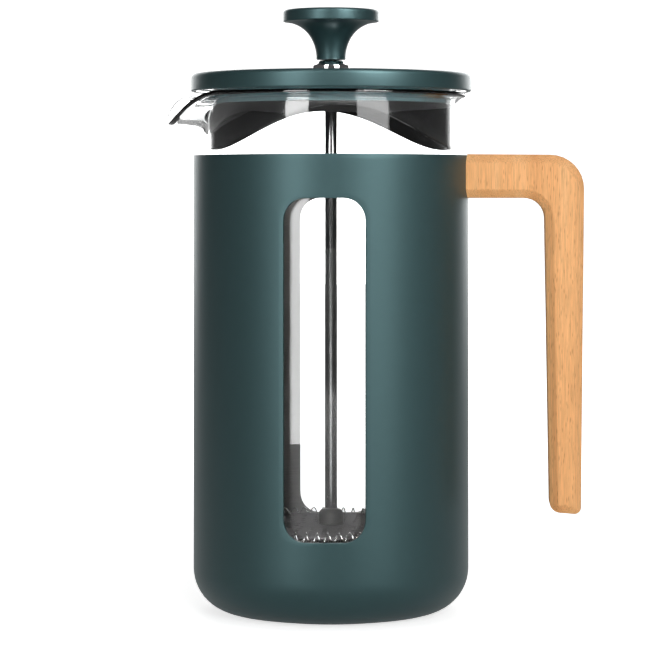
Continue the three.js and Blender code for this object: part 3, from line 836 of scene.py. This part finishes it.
def rod_guide():
    seat = LID_HIGH.z / MM + 0.1
    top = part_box("guide_ferrule")[1].z / MM
    turned("guide_ferrule_fine", "guide", CHROME,
           [(3.3, 190.5, 0.2), (4, 190.5, 0.3), (4, seat, 0), (7.0, seat, 0.3),
            (7.0, seat + 3.1, 0.7), (4.2, top - 0.1, 0.5), (3.3, top, 0.2)], sides=96)
    low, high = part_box("ferrule_nut")
    cos, sin = math.cos(math.radians(30)), math.sin(math.radians(30))
    hexagon = [
        (x * cos - y * sin, x * sin + y * cos)
        for x, y in circle((high.y - low.y) / 2 - 0.1 * MM, 6)
    ]
    bore = circle(4.3 * MM, 48)
    mesh = flat_plate("ferrule_nut_fine", [hexagon, bore], low.z, high.z, 0.35 * MM)
    piece("ferrule_nut_fine", mesh, "guide", [TURNED_STEEL], ["ferrule_nut"])
    bush_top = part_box("rod_bush")[1].z / MM
    bush_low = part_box("rod_bush")[0].z / MM
    turned("rod_bush_fine", "bush", NYLON,
           [(2.4, bush_low, 0.2), (4, bush_low, 0.3), (4, bush_low + 0.9, 0.15),
            (3.05, bush_low + 0.9, 0.1), (3.05, bush_top, 0.3), (2.4, bush_top, 0.2)])


# ---- Plunger ----


def knob():
    low, high = KNOB_LOW.z, KNOB_HIGH.z
    rim_low = 219.35 * MM
    rim_inner = 16.8 * MM
    neck = [(5.5 * MM, low + 1.5 * MM), (5.9 * MM, 212.4 * MM)]
    flare = [*neck, (9 * MM, 218.3 * MM), (rim_inner, rim_low)]
    trumpet = [bezier(flare, step / 20) for step in range(21)]
    rim = rounded([
        (rim_inner, rim_low, 0), (KNOB_R, rim_low + 0.05 * MM, 0.4 * MM), (KNOB_R, high, 1.3 * MM),
        (10 * MM, high - 0.02 * MM, 0)], False, 8)
    outline = [
        Vector((0, 215.6 * MM)), Vector((3.9 * MM, 215.6 * MM)), Vector((3.9 * MM, low + 0.2 * MM)),
        Vector((4.1 * MM, low)), Vector((5.2 * MM, low)), Vector((5.45 * MM, low + 0.25 * MM)),
        *trumpet, *rim[1:], Vector((0, high - 0.15 * MM)),
    ]
    mesh = mesh_of("knob_trumpet", *spin(outline, 128, False))
    sharpen(mesh)
    piece("knob_trumpet", mesh, "plunger", [SMOOTH_PAINT], ["knob"])
    bottom, top = KNOB_LOW.z / MM + 0.6, ROD_HIGH.z / MM
    knurls = [(3.6 - 0.2 * (i % 2), bottom + 0.5 + i * 0.5, 0) for i in range(16)]
    turned("knob_insert_fine", "plunger", BRASS,
           [(2.5, bottom, 0.1), (3.5, bottom, 0.1), *knurls, (3.5, top, 0.1), (2.5, top, 0.1)],
           sides=40)


def rod():
    low, high, radius = ROD_LOW.z / MM, ROD_HIGH.z / MM, ROD_R / MM
    turned("plunger_rod_fine", "plunger", DRAWN_STEEL,
           [(0, low, 0), (radius, low, 0.5), (radius, high, 0.5), (0, high, 0)],
           closed=False, sides=96)


def filter_dome():
    low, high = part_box("filter_dome")
    bottom, top = low.z, high.z
    bore = 2.4 * MM
    curve = [(DOME_R, 35.6 * MM), (DOME_R, 37.6 * MM), (3.8 * MM, 38.5 * MM), (bore, top)]
    crown = [bezier(curve, step / 14) for step in range(15)]
    foot = [(bore, bottom), (DOME_R - 0.2 * MM, bottom), (DOME_R, bottom + 0.2 * MM)]
    outline = [*map(Vector, foot), *crown]
    mesh = mesh_of("filter_dome_fine", *spin(outline, 96, True))
    sharpen(mesh)
    piece("filter_dome_fine", mesh, "plunger", [DARK_STEEL], ["filter_dome"])


def filter_plates():
    bore = circle(2.6 * MM, 32)
    hole_r, hole_spacing = 1.05 * MM, 5.2
    low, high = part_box("spiral_plate")
    loops = [circle(high.x, 160), bore]
    for index, ring in enumerate((13, 18, 23, 28, 33)):
        count = int(TAU * ring / hole_spacing)
        for i in range(count):
            angle = TAU * (i + 0.5 * (index % 2)) / count
            x, y = ring * MM * math.cos(angle), ring * MM * math.sin(angle)
            loops.append(circle(hole_r, 12, x, y))
    mesh = flat_plate("spiral_plate_fine", loops, low.z, high.z)
    piece("spiral_plate_fine", mesh, "plunger", [PLATE_PAINTED_SHADE], ["spiral_plate"])

    low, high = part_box("mesh_screen")
    edge, bottom, top = high.x / MM, low.z / MM, high.z / MM
    turned("mesh_screen_fine", "plunger", WEAVE,
           [(2.6, bottom, 0.1), (edge - 0.6, bottom, 0.3), (edge, top, 0.2), (2.6, top, 0.1)],
           sides=ROUND)

    low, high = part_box("cross_plate")
    loops = [circle(high.x, 160), bore]
    half, windows = math.radians(22), 6
    outer_r, inner_r = 36 * MM, 16 * MM
    for window in range(windows):
        middle = TAU * window / windows
        outer = [(outer_r, middle - half + 2 * half * s / 14) for s in range(15)]
        inner = [(inner_r, middle + half - 2 * half * s / 8) for s in range(9)]
        loops.append([(r * math.cos(a), r * math.sin(a)) for r, a in outer + inner])
    mesh = flat_plate("cross_plate_fine", loops, low.z, high.z)
    piece("cross_plate_fine", mesh, "plunger", [TURNED_STEEL], ["cross_plate"])

    low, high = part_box("filter_nut")
    bottom, top = low.z / MM, high.z / MM
    turned("filter_nut_fine", "plunger", TURNED_STEEL,
           [(2.4, bottom, 0.2), (5.2, bottom, 0.3), (6, bottom + 0.8, 0.3), (6, bottom + 2, 0.2),
            (5.4, bottom + 2.4, 0.2), (5.4, bottom + 2.9, 0.2), (6, bottom + 3.3, 0.2),
            (6, top, 0.3), (2.4, top, 0.2)])


def coil():
    """A fine wire wound round a ring that follows the filter's edge."""
    per_turn, sides = 20, 8
    steps = COIL_TURNS * per_turn
    points, faces = [], []
    for step in range(steps):
        around = TAU * step / steps
        turn = TAU * COIL_TURNS * step / steps
        radial = Vector((math.cos(around), math.sin(around), 0))
        along = Vector((-math.sin(around), math.cos(around), 0))
        up = Vector((0, 0, 1))
        out = radial * math.cos(turn) - up * math.sin(turn)
        centre = radial * COIL_R + up * COIL_Z + out * COIL_TURN_R
        travel = (
            along * (COIL_R + COIL_TURN_R * math.cos(turn)) / COIL_TURNS
            - (up * math.cos(turn) + radial * math.sin(turn)) * COIL_TURN_R
        ).normalized()
        side = travel.cross(out).normalized()
        for i in range(sides):
            angle = TAU * i / sides
            points.append(centre + (out * math.cos(angle) + side * math.sin(angle)) * COIL_WIRE)
    for step in range(steps):
        faces += band(step * sides, (step + 1) % steps * sides, sides)
    mesh = mesh_of("coil_spring_fine", points, faces)
    sharpen(mesh, 90)
    piece("coil_spring_fine", mesh, "plunger", [CHROME], ["coil_spring"])


# ---- Studio ----


def joined(tree, operation, a, b):
    """A maths node of two sockets, or of a socket and a number."""
    node = tree.nodes.new("ShaderNodeMath")
    node.operation = operation
    for socket, value in zip(node.inputs, (a, b)):
        if hasattr(value, "is_output"):
            tree.links.new(value, socket)
        else:
            socket.default_value = value
    return node.outputs["Value"]


def path_turns(tree, background=False):
    """The path so far, and how often it has turned other than through glass.

    A background counts one step more than a surface does.
    """
    path = tree.nodes.new("ShaderNodeLightPath")
    turns = joined(tree, "SUBTRACT", path.outputs["Ray Depth"], path.outputs["Transmission Depth"])
    if background:
        turns = joined(tree, "SUBTRACT", turns, 1.0)
    return path, turns


def floor():
    """A matt white table that fades into the white background away from the press."""
    made = Finish("floor_white", Roughness=0.9, Specular_IOR_Level=0.2)
    speck = made.noise(made.stretched(3, 3, 3))
    made.colour(made.ramp(speck, [(0.0, (0.8, 0.8, 0.8)), (1.0, (0.78, 0.78, 0.78))]))
    away = made.node("ShaderNodeVectorMath", operation="LENGTH")
    made.link(made.coords, away.inputs[0])
    fade = made.node("ShaderNodeMapRange", interpolation_type="SMOOTHSTEP")
    for socket, value in (("From Min", 0.1), ("From Max", 0.7), ("To Min", 0.72), ("To Max", 1.3)):
        fade.inputs[socket].default_value = value
    made.link(away.outputs["Value"], fade.inputs["Value"])
    path, turns = path_turns(made.tree)
    seen = joined(made.tree, "LESS_THAN", turns, 0.5)
    glow = joined(made.tree, "MULTIPLY", fade.outputs["Result"], seen)
    mirrored, lit = 0.2, 0.08
    glossy = joined(made.tree, "MULTIPLY", path.outputs["Is Glossy Ray"], mirrored)
    glow = joined(made.tree, "MAXIMUM", glow, joined(made.tree, "MAXIMUM", glossy, lit))
    made.shader.inputs["Emission Color"].default_value = (1, 1, 1, 1)
    made.link(glow, made.shader.inputs["Emission Strength"])
    mesh = mesh_of("floor", [(-4, -4, 0), (4, -4, 0), (4, 4, 0), (-4, 4, 0)], [(0, 1, 2, 3)])
    mesh.materials.append(made.material)
    table = bpy.data.objects.new("floor", mesh)
    table.location.z = -0.1 * MM
    bpy.context.scene.collection.objects.link(table)


def world():
    """White where it is seen; as light, a white wall behind the press in a dim room."""
    seen_white, mirrored_wall, lit_wall, room = 1.25, 4.5, 0.8, 0.09
    made = bpy.data.worlds.new("studio")
    bpy.context.scene.world = made
    made.use_nodes = True
    tree = made.node_tree
    tree.nodes.clear()
    coords = tree.nodes.new("ShaderNodeTexCoord")
    split = tree.nodes.new("ShaderNodeSeparateXYZ")
    tree.links.new(coords.outputs["Generated"], split.inputs["Vector"])
    wall = tree.nodes.new("ShaderNodeMapRange")
    wall.interpolation_type = "SMOOTHSTEP"
    for socket, value in (("From Min", 0.7), ("From Max", 0.97), ("To Min", 0.0), ("To Max", 1.0)):
        wall.inputs[socket].default_value = value
    tree.links.new(split.outputs["Y"], wall.inputs["Value"])
    behind = wall.outputs["Result"]
    path, turns = path_turns(tree, background=True)
    straight = joined(tree, "LESS_THAN", turns, 0.5)
    # Rays that turned inside the glass's own edge before they came out behind it.
    few_turns = joined(tree, "LESS_THAN", turns, 2.5)
    few_walls = joined(tree, "LESS_THAN", path.outputs["Transmission Depth"], 3.5)
    edge = joined(tree, "MULTIPLY", few_turns, path.outputs["Is Transmission Ray"])
    edge = joined(tree, "MULTIPLY", edge, few_walls)
    edge = joined(tree, "MULTIPLY", edge, joined(tree, "POWER", behind, 6.0))
    white = joined(tree, "MULTIPLY", joined(tree, "MAXIMUM", straight, edge), seen_white)
    mirrored = joined(tree, "MULTIPLY", path.outputs["Is Glossy Ray"], mirrored_wall)
    light = joined(tree, "MULTIPLY", behind, joined(tree, "MAXIMUM", mirrored, lit_wall))
    light = joined(tree, "MAXIMUM", light, room)
    back = tree.nodes.new("ShaderNodeBackground")
    back.inputs["Color"].default_value = (1, 1, 1, 1)
    tree.links.new(joined(tree, "MAXIMUM", white, light), back.inputs["Strength"])
    out = tree.nodes.new("ShaderNodeOutputWorld")
    tree.links.new(back.outputs["Background"], out.inputs["Surface"])


def panel(name, azimuth, width, distance, low, high, power, kind):
    """A rectangle of light, azimuth degrees round from the front, facing the press.

    A glint is what shiny surfaces mirror, and a fill is what lights the matt ones.
    """
    angle = math.radians(azimuth)
    light = bpy.data.lights.new(name, "AREA")
    light.shape = "RECTANGLE"
    light.size = width
    light.size_y = high - low
    light.energy = power
    made = bpy.data.objects.new(name, light)
    bpy.context.scene.collection.objects.link(made)
    made.location = (distance * math.sin(angle), -distance * math.cos(angle), (low + high) / 2)
    aim = Vector((-made.location.x, -made.location.y, 0))
    made.rotation_euler = aim.to_track_quat("-Z", "Y").to_euler()
    made.visible_camera = False
    made.visible_transmission = kind == "glint"
    made.visible_glossy = kind == "glint"
    made.visible_diffuse = kind == "fill"


def softbox(name, azimuth, spread, lower, upper, fill):
    """A tall soft light, spread degrees wide: a dim lower glint, a bright upper one, a fill."""
    distance, split, top = 0.55, 0.3, 1.0
    glint_foot, fill_foot = -0.1, -0.02  # both under the table's top
    width = 2 * distance * math.tan(math.radians(spread / 2))
    panel(f"{name}_lower", azimuth, width, distance, glint_foot, split, lower, "glint")
    panel(f"{name}_upper", azimuth, width, distance, split, top, upper, "glint")
    panel(f"{name}_fill", azimuth, width, distance, fill_foot, top, fill, "fill")


def overhead():
    light = bpy.data.lights.new("overhead_fill", "AREA")
    light.size = 0.7
    light.energy = 2.0
    made = bpy.data.objects.new("overhead_fill", light)
    bpy.context.scene.collection.objects.link(made)
    made.location = (0, 0, 0.95)
    made.visible_camera = False
    made.visible_transmission = False
    made.visible_glossy = False


def studio():
    floor()
    world()
    overhead()
    softbox("softbox_left", CAMERA_AZIMUTH - 29.5, spread=20.4, lower=1.94, upper=5.2, fill=1.2)
    softbox("softbox_right", CAMERA_AZIMUTH + 36.8, spread=28.8, lower=1.51, upper=12.6, fill=1.6)
    panel("softbox_front_fill", CAMERA_AZIMUTH + 10, width=0.3, distance=0.9, low=0.15, high=0.45,
          power=5.4, kind="fill")


def camera():
    """A long lens, level with the sleeve's upper part, a little to the handle's side."""
    data = bpy.data.cameras.new("camera")
    made = bpy.data.objects.new("camera", data)
    bpy.context.scene.collection.objects.link(made)
    bpy.context.scene.camera = made
    azimuth = math.radians(CAMERA_AZIMUTH)
    made.location = (
        CAMERA_DISTANCE * math.sin(azimuth), -CAMERA_DISTANCE * math.cos(azimuth), CAMERA_HEIGHT,
    )
    made.rotation_euler = (math.pi / 2, 0, azimuth)
    data.sensor_width = 36
    data.lens = 153.4
    data.shift_x = 0.003
    data.shift_y = -0.203


camera()
studio()
sleeve()
beaker()
handle()
handle_fastenings()
pads()
grip_ring()
lid()
rod_guide()
knob()
rod()
filter_dome()
filter_plates()
coil()

bpy.context.scene.view_settings.view_transform = "Standard"

bpy.context.view_layer.update()
